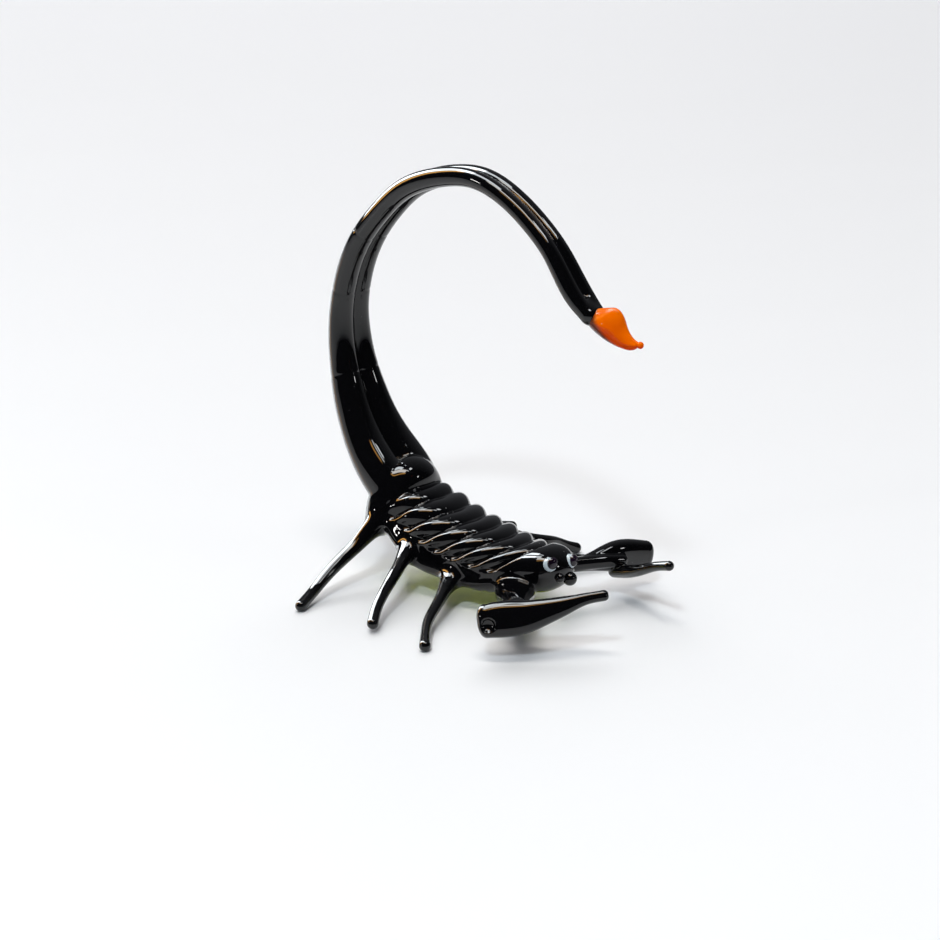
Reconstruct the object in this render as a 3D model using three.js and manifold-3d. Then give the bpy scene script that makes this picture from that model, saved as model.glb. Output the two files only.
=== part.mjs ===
// Lampworked glass scorpion figurine, standing on its feet with the tail arched over the back.
// Millimetres, +Z up, the head toward -Y, the animal's left toward +X.
// Path tables list points in order as [left, forward, up, half thickness, half height].
import * as THREE from 'three';
import { mergeVertices } from 'three/addons/utils/BufferGeometryUtils.js';
import ManifoldModule from 'manifold-3d';

const wasm = await ManifoldModule();
wasm.setup();
const { Manifold, Mesh: SolidMesh } = wasm;

// Direction across the animal
const ACROSS = new THREE.Vector3(1, 0, 0);

// Corners of a surface closer than this are one corner
const SAME_POINT = 1e-4;

// Points along the rounded end of a limb
const LIMB_END_POINTS = 3;

// Gaps between fused pieces
const PIECE_GAP = 0.3;
const EYE_GAP = 0.12;

// The body from rear to snout: [forward, half width, top, bottom]
const BODY_STATIONS = [
  [-21.0, 5.8, 17.4, 9.4],
  [-16.0, 8.0, 19.6, 6.8],
  [-11.0, 9.0, 19.9, 4.6],
  [-6.0, 9.6, 18.1, 3.3],
  [-1.0, 9.7, 16.4, 2.7],
  [5.0, 9.6, 15.2, 2.5],
  [11.0, 8.9, 14.1, 2.7],
  [16.0, 7.7, 13.7, 3.4],
  [20.5, 6.4, 14.2, 4.5],
  [23.4, 5.6, 13.9, 5.6],
  [25.4, 5.2, 13.2, 6.4],
];
const BODY_STEPS = 54;
const BODY_SIDES = 24;
const BODY_REAR_ROUNDING = 5.0;
const BODY_FRONT_ROUNDING = 4.2;
const BODY_SQUARENESS = 0.88;
const BODY_END_CROWDING = 0.35;

// Rounded ribs pressed across the back, swept backward down the flanks to round ends
const RIB_FIRST_GROOVE = -12.8;
const RIB_PITCH = 4.41;
const RIB_GROOVES = 8;
const RIB_SWEEP = 5.3;
const RIB_BEND = 1.75;
const RIB_END = 1.38;
const RIB_END_WIDTH = 0.25;
const RIB_LEAN = 1.6;
const RIB_ROUNDNESS = 0.7;
const RIB_DEPTH = 0.85;
const RIB_END_FADE = [0.0, 0.5];

// The tail's midline: [forward, up, rod radius]; two rods lie side by side
const TAIL_LINE = [
  [-14.5, 14.5, 3.9],
  [-17.8, 17.9, 4.4],
  [-21.2, 21.6, 4.5],
  [-24.7, 25.4, 4.2],
  [-28.1, 30.5, 3.75],
  [-30.5, 35.6, 3.4],
  [-32.3, 41.2, 3.0],
  [-33.3, 47.2, 2.72],
  [-33.3, 53.0, 2.5],
  [-32.0, 59.5, 2.38],
  [-29.6, 65.5, 2.32],
  [-26.3, 70.6, 2.25],
  [-22.2, 75.1, 2.15],
  [-16.6, 79.9, 2.1],
  [-10.9, 82.7, 2.05],
  [-5.0, 84.3, 1.95],
  [2.3, 84.8, 1.8],
  [10.6, 82.0, 1.68],
  [17.3, 77.5, 1.66],
  [21.7, 73.4, 1.68],
  [26.4, 67.2, 1.75],
  [28.8, 64.6, 1.7],
  [31.0, 62.7, 1.6],
];
const ROD_SPREAD = 0.88;
const TAIL_STEPS = 36;
const TAIL_SIDES = 12;
const HUMP_STEPS = 12;
const HUMP = [
  [-6.8, -18.8, 11.8, 3.0, 3.0],
  [-4.9, -17.9, 16.2, 4.1, 4.0],
  [0, -16.5, 19.6, 4.7, 4.8],
  [4.9, -17.9, 16.2, 4.1, 4.0],
  [6.8, -18.8, 11.8, 3.0, 3.0],
];

// Orange sting in front of the tail's end
const STING = [
  [0, 30.9, 62.6, 2.4, 2.2],
  [0, 32.9, 62.0, 2.6, 2.8],
  [0, 35.1, 61.6, 2.6, 3.4],
  [0, 36.7, 60.9, 2.4, 3.3],
  [0, 38.1, 59.6, 2.1, 2.1],
  [0, 40.0, 58.7, 1.3, 1.3],
  [0, 42.0, 58.8, 0.85, 0.85],
];
const STING_SIDES = 12;
const STING_STEPS = 9;

// Legs from root to ball tip
const RIGHT_REAR_LEG = [
  [-5.5, -16.6, 13.4, 2.5, 2.8],
  [-9.0, -17.5, 12.0, 2.1, 2.3],
  [-13.5, -18.1, 8.8, 1.55, 1.6],
  [-18.0, -18.5, 6.4, 1.35, 1.35],
  [-22.5, -18.4, 4.2, 1.25, 1.25],
  [-27.0, -17.9, 2.2, 1.15, 1.15],
  [-31.3, -16.9, 0.95, 1.1, 1.1],
];
const RIGHT_MIDDLE_LEG = [
  [-6.0, -9.4, 9.4, 2.5, 2.8],
  [-9.4, -8.2, 9.2, 2.1, 2.4],
  [-13.0, -6.6, 8.1, 1.5, 1.5],
  [-16.5, -4.7, 7.0, 1.3, 1.3],
  [-20.0, -3.3, 5.8, 1.2, 1.2],
  [-23.5, -1.8, 4.6, 1.15, 1.15],
  [-27.0, -0.1, 3.2, 1.1, 1.1],
  [-30.3, 2.2, 1.6, 1.1, 1.1],
];
const RIGHT_FRONT_LEG = [
  [-6.0, 1.6, 6.4, 2.4, 2.3],
  [-9.4, 3.4, 5.9, 2.1, 2.1],
  [-13.0, 5.0, 4.7, 1.5, 1.5],
  [-16.5, 6.8, 3.9, 1.25, 1.25],
  [-20.0, 8.4, 3.1, 1.15, 1.15],
  [-23.5, 10.2, 2.4, 1.05, 1.05],
  [-27.0, 12.8, 1.7, 1.0, 1.0],
  [-30.6, 16.0, 0.95, 1.1, 1.1],
];
const LEFT_MIDDLE_LEG = [
  [6.0, -6.4, 9.4, 2.5, 2.8],
  [9.4, -4.2, 9.1, 2.1, 2.4],
  [13.0, -1.2, 7.9, 1.5, 1.5],
  [17.5, 1.6, 6.3, 1.3, 1.3],
  [21.5, 2.3, 5.1, 1.2, 1.2],
  [25.0, 2.0, 3.8, 1.15, 1.15],
  [28.5, 2.2, 2.1, 1.1, 1.1],
  [30.6, 2.5, 0.95, 1.1, 1.1],
];
const LEG_SIDES = 10;
const LEG_STEPS = 9;

// Claws: an arm, a broad outer finger and a slim inner finger
const RIGHT_ARM = [
  [-4.5, 15.8, 6.4, 3.4, 2.4],
  [-9.5, 20.4, 6.6, 3.8, 2.4],
  [-14.5, 25.0, 7.8, 3.0, 2.3],
  [-19.5, 29.6, 8.9, 2.2, 2.3],
];
const RIGHT_OUTER_FINGER = [
  [-25.9, 27.6, 7.8, 1.9, 3.2],
  [-23.4, 30.1, 8.2, 2.0, 3.5],
  [-21.0, 32.7, 8.6, 1.9, 3.2],
  [-18.5, 35.5, 9.6, 1.7, 2.5],
  [-15.8, 38.3, 10.8, 1.35, 1.75],
  [-13.0, 40.7, 11.9, 1.05, 1.15],
  [-10.7, 42.7, 12.5, 1.0, 1.0],
];
const RIGHT_INNER_FINGER = [
  [-22.0, 28.6, 9.3, 1.4, 1.4],
  [-18.4, 32.2, 9.9, 1.4, 1.4],
  [-14.0, 36.8, 11.0, 1.15, 1.15],
  [-10.9, 40.4, 12.2, 0.85, 0.85],
];
const LEFT_ARM = [
  [4.5, 18.6, 8.6, 1.7, 1.9],
  [9.0, 21.4, 8.1, 1.4, 1.5],
  [12.5, 22.9, 8.3, 1.7, 2.2],
  [16.0, 24.0, 8.4, 2.0, 3.1],
  [20.0, 25.0, 7.9, 2.1, 3.3],
  [23.6, 26.0, 7.3, 1.9, 2.9],
];
const LEFT_FINGER = [
  [17.4, 24.8, 5.9, 1.7, 1.5],
  [15.6, 29.2, 7.2, 1.5, 1.35],
  [13.4, 34.0, 9.0, 1.3, 1.2],
  [11.4, 39.2, 11.4, 1.0, 1.0],
  [10.3, 42.6, 12.6, 1.0, 1.0],
];
const CLAW_SIDES = 10;
const CLAW_STEPS = 9;

// Eyes, pupils and the two beads below them: [left, forward, up] and radius
const EYE_RADIUS = 1.55;
const RIGHT_EYE = [-3.0, 23.5, 11.9];
const LEFT_EYE = [2.9, 23.4, 11.8];
const PUPIL_RADIUS = 1.05;
const PUPIL_AHEAD = 1.2;
const PUPIL_TURN = 0.4;
const RIGHT_BEAD = [-2.0, 25.3, 9.2];
const LEFT_BEAD = [1.3, 25.2, 8.1];
const RIGHT_BEAD_RADIUS = 0.95;
const LEFT_BEAD_RADIUS = 1.4;
const BALL_SIDES = 12;
const BALL_RINGS = 8;

// Colours of the glass
const BLACK_GLASS = 0x08080a;
const ORANGE_GLASS = 0xf25a02;
const WHITE_GLASS = 0xbacdd8;
const PUPIL_GLASS = 0x140c1c;
const GLASS_ROUGHNESS = 0.06;

// Turns a three.js geometry into a closed solid
function toSolid(geometry) {
  const bare = geometry.clone();
  bare.deleteAttribute('normal');
  bare.deleteAttribute('uv');
  const merged = mergeVertices(bare, SAME_POINT);
  const positions = merged.attributes.position.array;
  const index = merged.index.array;
  const triangles = [];
  let volume = 0;
  const [a, b, c] = [new THREE.Vector3(), new THREE.Vector3(), new THREE.Vector3()];
  for (let i = 0; i < index.length; i += 3) {
    const [p, q, r] = [index[i], index[i + 1], index[i + 2]];
    if (p === q || q === r || r === p) continue;
    triangles.push(p, q, r);
    a.fromArray(positions, 3 * p);
    b.fromArray(positions, 3 * q);
    c.fromArray(positions, 3 * r);
    volume += a.dot(b.cross(c));
  }
  if (volume < 0) triangles.reverse();
  const mesh = new SolidMesh({
    numProp: 3,
    vertProperties: new Float32Array(positions),
    triVerts: new Uint32Array(triangles),
  });
  mesh.merge();
  return new Manifold(mesh);
}

// Turns a closed solid back into a three.js geometry
function toGeometry(solid) {
  const mesh = solid.getMesh();
  const geometry = new THREE.BufferGeometry();
  geometry.setAttribute('position', new THREE.BufferAttribute(mesh.vertProperties, mesh.numProp));
  geometry.setIndex(new THREE.BufferAttribute(mesh.triVerts, 1));
  geometry.computeVertexNormals();
  return geometry;
}

// Profile of a unit rod with rounded ends, from 0 to 1 along its length
function rodProfile(steps) {
  const profile = [];
  for (let i = 0; i < LIMB_END_POINTS; i += 1) {
    const angle = (Math.PI / 2) * (i / LIMB_END_POINTS);
    profile.push(new THREE.Vector2(Math.sin(angle), -Math.cos(angle)));
  }
  for (let i = 0; i <= steps; i += 1) profile.push(new THREE.Vector2(1, i / steps));
  for (let i = LIMB_END_POINTS - 1; i >= 0; i -= 1) {
    const angle = (Math.PI / 2) * (i / LIMB_END_POINTS);
    profile.push(new THREE.Vector2(Math.sin(angle), 1 + Math.cos(angle)));
  }
  profile[0].x = 0;
  profile[profile.length - 1].x = 0;
  return profile;
}

// A limb: a rod bent along a smooth path, with the thickness and height of each path point;
// the thickness lies level, or along the given direction
function limb(path, sides, steps, grow = 0, across = null) {
  const line = new THREE.CatmullRomCurve3(path.map(([x, y, z]) => new THREE.Vector3(x, -y, z)));
  const girth = new THREE.SplineCurve(path.map((p) => new THREE.Vector2(p[3] + grow, p[4] + grow)));
  const geometry = new THREE.LatheGeometry(rodProfile(steps), sides);
  const position = geometry.attributes.position;
  const side = new THREE.Vector3();
  const rise = new THREE.Vector3();
  const point = new THREE.Vector3();
  for (let i = 0; i < position.count; i += 1) {
    const along = THREE.MathUtils.clamp(position.getY(i), 0, 1);
    const beyond = position.getY(i) - along;
    const tangent = line.getTangent(along);
    const size = girth.getPoint(along);
    if (across) side.copy(across);
    else side.set(-tangent.y, tangent.x, 0).normalize();
    rise.crossVectors(side, tangent).normalize();
    line.getPoint(along, point);
    point.addScaledVector(tangent, beyond * Math.min(size.x, size.y));
    point.addScaledVector(side, position.getX(i) * size.x);
    point.addScaledVector(rise, position.getZ(i) * size.y);
    position.setXYZ(i, point.x, point.y, point.z);
  }
  return toSolid(geometry);
}

// Mirrors a path to the animal's other side
function mirrored(path) {
  return path.map(([x, ...rest]) => [-x, ...rest]);
}

// How deep the pressed grooves cut the back at a place on it
function grooveDepth(across, height, forward) {
  const down = Math.atan2(Math.abs(across), height);
  const sweep = RIB_SWEEP * (down / RIB_END) ** RIB_BEND;
  const phase = (forward + sweep - RIB_FIRST_GROOVE) / RIB_PITCH;
  const beyond = Math.max(-phase, phase - (RIB_GROOVES - 1));
  const inside = 1 - THREE.MathUtils.smoothstep(beyond, ...RIB_END_FADE);
  const onBack = 1 - THREE.MathUtils.smoothstep(down, RIB_END, RIB_END + RIB_END_WIDTH);
  const share = phase - Math.floor(phase);
  const crest = Math.sin(Math.PI * share ** RIB_LEAN) ** RIB_ROUNDNESS;
  return RIB_DEPTH * inside * onBack * (1 - crest);
}

// The body: rounded cross sections from the rear to the snout, with the ribs pressed in
function body(grow = 0) {
  const spanCurve = (k) => new THREE.SplineCurve(BODY_STATIONS.map((s) => new THREE.Vector2(s[0], s[k])));
  const [widths, tops, bottoms] = [spanCurve(1), spanCurve(2), spanCurve(3)];
  const rear = BODY_STATIONS[0][0] - grow;
  const front = BODY_STATIONS[BODY_STATIONS.length - 1][0] + grow;
  const profile = [];
  for (let i = 0; i <= BODY_STEPS; i += 1) {
    const ease = (1 - Math.cos((Math.PI * i) / BODY_STEPS)) / 2;
    const even = i / BODY_STEPS;
    const along = THREE.MathUtils.lerp(even, ease, BODY_END_CROWDING);
    profile.push(new THREE.Vector2(i === 0 || i === BODY_STEPS ? 0 : 1, along));
  }
  const geometry = new THREE.LatheGeometry(profile, BODY_SIDES);
  const position = geometry.attributes.position;
  const rounded = (v) => Math.sign(v) * Math.abs(v) ** BODY_SQUARENESS;
  for (let i = 0; i < position.count; i += 1) {
    const t = position.getY(i);
    const forward = rear + (front - rear) * t;
    const u = stationParameter(forward);
    const centre = (tops.getPoint(u).y + bottoms.getPoint(u).y) / 2;
    const halfHeight = (tops.getPoint(u).y - bottoms.getPoint(u).y) / 2 + grow;
    const halfWidth = widths.getPoint(u).y + grow;
    const rearCap = THREE.MathUtils.clamp((forward - rear) / BODY_REAR_ROUNDING, 0, 1);
    const frontCap = THREE.MathUtils.clamp((front - forward) / BODY_FRONT_ROUNDING, 0, 1);
    const cap = Math.sqrt(1 - (1 - rearCap) ** 2) * Math.sqrt(1 - (1 - frontCap) ** 2);
    const onRim = Math.hypot(position.getX(i), position.getZ(i)) > 0.5;
    const across = onRim ? rounded(position.getX(i)) : 0;
    const height = onRim ? rounded(position.getZ(i)) : 0;
    const press = 1 - grooveDepth(across, height, forward) / halfHeight;
    position.setXYZ(
      i,
      across * halfWidth * cap * press,
      -forward,
      centre + height * halfHeight * cap * press,
    );
  }
  return toSolid(geometry);
}

// Place of a forward distance among the body stations, from 0 to 1
function stationParameter(forward) {
  const last = BODY_STATIONS.length - 1;
  for (let i = 0; i < last; i += 1) {
    const [from, to] = [BODY_STATIONS[i][0], BODY_STATIONS[i + 1][0]];
    if (forward <= to || i === last - 1) {
      return THREE.MathUtils.clamp((i + (forward - from) / (to - from)) / last, 0, 1);
    }
  }
  return 1;
}

// The tail: two rods side by side and the roll of glass that holds them to the back
function tail(grow = 0) {
  const rods = [-1, 1].map((hand) => {
    const path = TAIL_LINE.map(([y, z, r]) => [hand * ROD_SPREAD * r, y, z, r, r]);
    return limb(path, TAIL_SIDES, TAIL_STEPS, grow, ACROSS);
  });
  return rods[0].add(rods[1]).add(limb(HUMP, TAIL_SIDES, HUMP_STEPS, grow));
}

// A ball of glass
function ball([x, y, z], radius, turn = 0) {
  const sphere = new THREE.SphereGeometry(radius, BALL_SIDES, BALL_RINGS);
  sphere.rotateX(turn);
  sphere.translate(x, -y, z);
  return toSolid(sphere);
}

// A foot stands on a small flat at the floor
function leg(path) {
  return limb(path, LEG_SIDES, LEG_STEPS).trimByPlane([0, 0, 1], 0);
}

// A claw from its limbs
function claw(paths) {
  return paths.map((path) => limb(path, CLAW_SIDES, CLAW_STEPS)).reduce((a, b) => a.add(b));
}

const bodySolid = body();
const bodyRoom = body(PIECE_GAP);
const tailSolid = tail().subtract(bodyRoom);
const tailRoom = tail(PIECE_GAP);
const rightEye = ball(RIGHT_EYE, EYE_RADIUS);
const leftEye = ball(LEFT_EYE, EYE_RADIUS);
const bodyEyeRoom = body(EYE_GAP);

// A pupil sits on the front of its eye
function pupil([x, y, z]) {
  const place = [x, y + PUPIL_AHEAD, z];
  const eyeRoom = ball([x, y, z], EYE_RADIUS + EYE_GAP);
  return ball(place, PUPIL_RADIUS, PUPIL_TURN).subtract(eyeRoom).subtract(bodyEyeRoom);
}

const rootedLeg = (path) => leg(path).subtract(bodyRoom).subtract(tailRoom);
const pieces = [
  ['body', bodySolid, BLACK_GLASS],
  ['tail', tailSolid, BLACK_GLASS],
  ['sting', limb(STING, STING_SIDES, STING_STEPS, 0, ACROSS).subtract(tailRoom), ORANGE_GLASS],
  ['right_front_leg', rootedLeg(RIGHT_FRONT_LEG), BLACK_GLASS],
  ['right_middle_leg', rootedLeg(RIGHT_MIDDLE_LEG), BLACK_GLASS],
  ['right_rear_leg', rootedLeg(RIGHT_REAR_LEG), BLACK_GLASS],
  ['left_front_leg', rootedLeg(mirrored(RIGHT_FRONT_LEG)), BLACK_GLASS],
  ['left_middle_leg', rootedLeg(LEFT_MIDDLE_LEG), BLACK_GLASS],
  ['left_rear_leg', rootedLeg(mirrored(RIGHT_REAR_LEG)), BLACK_GLASS],
  ['right_claw', claw([RIGHT_ARM, RIGHT_OUTER_FINGER, RIGHT_INNER_FINGER]).subtract(bodyRoom), BLACK_GLASS],
  ['left_claw', claw([LEFT_ARM, LEFT_FINGER]).subtract(bodyRoom), BLACK_GLASS],
  ['right_eye', rightEye.subtract(bodyEyeRoom), WHITE_GLASS],
  ['left_eye', leftEye.subtract(bodyEyeRoom), WHITE_GLASS],
  ['right_pupil', pupil(RIGHT_EYE), PUPIL_GLASS],
  ['left_pupil', pupil(LEFT_EYE), PUPIL_GLASS],
  ['right_bead', ball(RIGHT_BEAD, RIGHT_BEAD_RADIUS).subtract(bodyEyeRoom), BLACK_GLASS],
  ['left_bead', ball(LEFT_BEAD, LEFT_BEAD_RADIUS).subtract(bodyEyeRoom), BLACK_GLASS],
];

// The figurine stands with the middle of its outline over the origin
const figurine = new THREE.Group();
figurine.name = 'glass_scorpion_figurine';
const standing = new THREE.Group();
standing.name = 'standing';
for (const [name, solid, colour] of pieces) {
  const material = new THREE.MeshStandardMaterial({ color: colour, roughness: GLASS_ROUGHNESS, metalness: 0 });
  material.name = name;
  const mesh = new THREE.Mesh(toGeometry(solid), material);
  mesh.name = name;
  standing.add(mesh);
}
figurine.add(standing);
figurine.updateMatrixWorld(true);
const outline = new THREE.Box3().setFromObject(standing, true);
const middle = outline.getCenter(new THREE.Vector3());
standing.position.set(-middle.x, -middle.y, -outline.min.z);
figurine.updateMatrixWorld(true);

export default figurine;
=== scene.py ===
import math

import bpy
import numpy as np
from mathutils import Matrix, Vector


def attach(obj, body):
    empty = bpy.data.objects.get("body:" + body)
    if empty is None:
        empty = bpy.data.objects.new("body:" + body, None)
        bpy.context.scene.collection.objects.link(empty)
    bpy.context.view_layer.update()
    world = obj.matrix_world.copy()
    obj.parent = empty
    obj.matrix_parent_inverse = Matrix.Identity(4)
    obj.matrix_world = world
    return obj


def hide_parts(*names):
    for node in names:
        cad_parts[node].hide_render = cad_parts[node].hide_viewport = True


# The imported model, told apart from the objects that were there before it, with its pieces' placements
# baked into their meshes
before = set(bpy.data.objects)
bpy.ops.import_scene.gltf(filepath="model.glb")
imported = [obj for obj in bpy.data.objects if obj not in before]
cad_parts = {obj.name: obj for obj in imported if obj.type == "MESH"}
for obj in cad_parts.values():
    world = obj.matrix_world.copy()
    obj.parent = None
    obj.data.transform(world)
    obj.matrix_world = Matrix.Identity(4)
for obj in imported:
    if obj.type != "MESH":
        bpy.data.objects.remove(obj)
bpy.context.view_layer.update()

# Lengths below are millimetres: left, forward from the middle of the back, up
MM = 0.001
ORIGIN_FORWARD = 3.8127

# Body sections from rear to snout: forward, half width, top, bottom
BODY = [
    [-21.0, 5.6, 17.0, 10.0],
    [-16.0, 8.0, 19.6, 7.8],
    [-11.0, 9.0, 19.7, 5.8],
    [-6.0, 9.6, 17.9, 4.4],
    [-1.0, 9.7, 16.2, 3.8],
    [5.0, 9.6, 15.0, 3.6],
    [11.0, 8.9, 13.9, 3.7],
    [16.0, 7.7, 13.7, 4.2],
    [20.5, 6.4, 14.2, 4.8],
    [23.4, 5.6, 13.9, 5.7],
    [25.4, 5.2, 13.2, 6.5],
]
BODY_ROUNDNESS = 2.25
BODY_REAR_ROUNDING = 5.0
BODY_FRONT_ROUNDING = 4.4

# Grooves pressed across the back, swept backward down the flanks to round ends
GROOVE_FIRST = -12.05
GROOVE_PITCH = 4.41
GROOVE_LAST = 7
GROOVE_SWEEP = 5.3
GROOVE_BEND = 1.75
GROOVE_END = 1.38
GROOVE_END_WIDTH = 0.2
GROOVE_DEPTH_TOP = 0.8
GROOVE_DEPTH_FLANK = 1.6
RIB_LEAN_TOP = 1.25
RIB_LEAN_FLANK = 0.58
RIB_ROUNDNESS = 0.78

# Angles from the spine, in radians, where flank takes over from back and where the sweep ends
FLANK_START = 0.3
FLANK_SPAN = 0.8
SWEEP_LIMIT = 1.8

# Small amounts that keep spine and creases round, and the pitches over which the end grooves fade
SPINE_SOFTNESS = 0.01
CREASE_SOFTNESS = 0.003
GROOVE_FADE = 0.5

# Tail midline: forward, up, rod radius
TAIL = [
    [-14.5, 14.5, 3.9],
    [-17.8, 17.9, 4.4],
    [-21.4, 21.6, 4.5],
    [-24.9, 25.4, 4.2],
    [-28.3, 30.5, 3.75],
    [-30.6, 35.6, 3.4],
    [-32.3, 41.2, 3.0],
    [-33.3, 47.2, 2.72],
    [-33.3, 53.0, 2.5],
    [-32.0, 59.5, 2.38],
    [-29.6, 65.5, 2.32],
    [-26.3, 70.6, 2.25],
    [-22.2, 75.1, 2.15],
    [-16.6, 79.9, 2.1],
    [-10.9, 82.7, 2.05],
    [-5.0, 84.3, 1.95],
    [2.3, 84.8, 1.8],
    [10.6, 82.0, 1.68],
    [17.3, 77.5, 1.66],
    [21.7, 73.4, 1.68],
    [26.4, 67.2, 1.78],
    [28.6, 64.8, 1.7],
    [30.8, 62.9, 1.5],
]
ROD_SPREAD = 0.88

# Paths of the melted glass at both ends of the tail: left, forward, up, half thickness, half height
HUMP = [
    [-6.8, -18.8, 11.8, 3.0, 3.0],
    [-4.9, -17.9, 16.4, 4.2, 4.1],
    [0.0, -16.7, 19.8, 4.6, 4.7],
    [4.9, -17.9, 16.4, 4.2, 4.1],
    [6.8, -18.8, 11.8, 3.0, 3.0],
]
TAIL_TIP = [
    [0, 29.2, 63.9, 2.3, 1.8],
    [0, 30.9, 62.6, 2.5, 2.0],
]

# Pinch marks round the tail: forward, up
PINCHES = [[-26.5, 69.9], [-32.4, 57.1], [-32.2, 39.7]]
PINCH_DEPTH = 0.06
PINCH_WIDTH = 0.35

# Sting sections along its own axis: along, half width, top, bottom
STING = [
    [-2.2, 1.3, 0.9, -1.9],
    [0.0, 2.1, 2.4, -2.6],
    [1.4, 2.5, 3.2, -2.8],
    [3.1, 2.6, 4.0, -2.97],
    [4.2, 2.4, 3.9, -2.95],
    [5.2, 2.1, 3.2, -2.9],
    [6.3, 1.75, 1.95, -2.75],
    [7.7, 1.35, 0.9, -2.45],
    [8.9, 0.95, 0.45, -2.0],
    [9.8, 0.7, 0.35, -1.35],
    [10.5, 0.5, 0.3, -0.8],
]
STING_START = (32.3, 62.1)
STING_TILT = -0.307
STING_ROUNDNESS = 1.45
STING_REAR_ROUNDING = 1.2
STING_FRONT_ROUNDING = 0.8
STING_TIP = (0, 42.4, 58.9)
STING_TIP_RADIUS = 0.68

# Room round the tip that holds the whole sting: along x, y and z
STING_ROOM_LOW = np.array([5.0, 2.0, 5.0])
STING_ROOM_HIGH = np.array([5.0, 14.0, 9.0])

# Paths of the skirt, legs and claws: left, forward, up, half thickness, half height
RIGHT_SKIRT = [
    [-5.6, -17.0, 12.6, 1.9, 1.9],
    [-7.4, -13.5, 11.6, 2.1, 1.9],
    [-8.0, -9.0, 8.4, 2.2, 1.9],
    [-8.0, -4.1, 6.8, 2.2, 2.0],
    [-7.7, 2.0, 6.4, 2.2, 1.9],
    [-7.2, 8.1, 5.9, 2.2, 1.9],
    [-5.6, 14.5, 6.3, 2.2, 1.8],
]
RIGHT_REAR_LEG = [
    [-5.5, -16.6, 13.4, 2.5, 2.8],
    [-9.0, -17.5, 12.0, 2.1, 2.3],
    [-13.5, -18.3, 8.95, 1.55, 1.6],
    [-18.0, -18.7, 6.55, 1.4, 1.4],
    [-22.5, -18.6, 4.35, 1.25, 1.25],
    [-27.0, -17.9, 2.3, 1.15, 1.15],
    [-31.8, -16.5, 1.1, 1.15, 1.15],
]
RIGHT_MIDDLE_LEG = [
    [-6.0, -9.4, 8.6, 2.5, 2.8],
    [-9.4, -8.2, 8.6, 2.1, 2.4],
    [-13.0, -6.6, 7.9, 1.5, 1.5],
    [-16.5, -4.9, 7.0, 1.3, 1.3],
    [-20.0, -3.5, 5.8, 1.2, 1.2],
    [-23.5, -2.0, 4.6, 1.12, 1.12],
    [-27.0, -0.3, 3.2, 1.1, 1.1],
    [-30.3, 1.9, 1.8, 1.15, 1.15],
]
RIGHT_FRONT_LEG = [
    [-6.0, 1.6, 5.6, 2.4, 2.3],
    [-9.4, 3.4, 5.4, 2.1, 2.1],
    [-13.0, 5.0, 4.6, 1.5, 1.5],
    [-16.5, 6.8, 3.9, 1.2, 1.2],
    [-20.0, 8.4, 3.1, 1.1, 1.1],
    [-23.5, 10.2, 2.4, 1.0, 1.0],
    [-27.0, 12.8, 1.7, 0.95, 0.95],
    [-30.6, 16.0, 1.1, 1.15, 1.15],
]
LEFT_MIDDLE_LEG = [
    [6.0, -6.4, 9.0, 2.5, 2.8],
    [9.4, -4.2, 8.9, 2.1, 2.4],
    [13.0, -1.2, 7.9, 1.5, 1.5],
    [17.5, 1.6, 6.3, 1.25, 1.25],
    [21.5, 2.3, 5.1, 1.15, 1.15],
    [25.0, 2.0, 3.8, 1.05, 1.05],
    [28.5, 2.2, 2.1, 1.0, 1.0],
    [30.6, 2.5, 1.1, 1.15, 1.15],
]
RIGHT_ARM = [
    [-4.5, 15.8, 6.4, 3.4, 2.4],
    [-9.5, 20.4, 6.6, 3.9, 2.4],
    [-14.5, 25.0, 7.8, 3.0, 2.3],
    [-19.5, 29.6, 8.9, 2.2, 2.3],
]
RIGHT_OUTER_FINGER = [
    [-25.9, 27.6, 7.8, 1.9, 3.2],
    [-23.4, 30.1, 8.2, 2.0, 3.5],
    [-21.0, 32.7, 8.6, 1.9, 3.2],
    [-18.5, 35.5, 9.6, 1.7, 2.5],
    [-15.8, 38.3, 10.8, 1.35, 1.75],
    [-13.0, 40.7, 11.9, 1.05, 1.15],
    [-10.4, 43.0, 12.45, 1.05, 1.05],
]
RIGHT_INNER_FINGER = [
    [-22.0, 28.6, 9.1, 1.4, 1.4],
    [-18.4, 32.2, 9.6, 1.4, 1.4],
    [-14.0, 36.8, 10.6, 1.15, 1.15],
    [-11.4, 40.0, 11.6, 0.85, 0.85],
]

# The near claw's turn about its length in radians, and the dent in its end
CLAW_ROLL = 0.5
CLAW_DENT = (-27.8, 29.5, 7.9)
CLAW_DENT_RADIUS = 1.6

# The far claw, whose arm ends round on the face of its paddle
LEFT_ARM = [
    [4.5, 18.6, 8.6, 1.7, 1.9],
    [9.0, 21.4, 8.1, 1.4, 1.5],
    [12.5, 22.9, 8.3, 1.7, 2.2],
    [16.0, 24.0, 8.4, 2.0, 3.1],
    [20.0, 25.0, 7.9, 2.1, 3.3],
    [23.6, 26.0, 7.3, 1.9, 2.9],
]
LEFT_ARM_END = [
    [7.0, 20.6, 8.3, 1.3, 1.4],
    [10.3, 23.2, 8.5, 1.3, 1.4],
    [13.2, 25.2, 8.5, 1.3, 1.4],
    [16.0, 26.3, 8.1, 1.3, 1.4],
]
LEFT_FINGER = [
    [16.4, 24.6, 5.4, 1.6, 1.4],
    [15.2, 29.0, 6.7, 1.4, 1.3],
    [13.4, 34.0, 8.9, 1.2, 1.1],
    [11.4, 39.2, 11.4, 0.95, 0.95],
    [10.3, 42.6, 12.6, 1.0, 1.0],
]

# How far fused glass flows together, in millimetres
FLOW_RODS = 0.5
FLOW_HUMP = 0.6
FLOW_TAIL = 1.2
FLOW_SKIRT = 3.0
FLOW_TIP = 0.8
FLOW_STING = 0.4
FLOW_LEG = 2.6
FLOW_CLAW = 1.6
FLOW_FINGERS = 0.5
FLOW_DENT = 0.5
FLOW_NECK = 0.6

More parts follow.
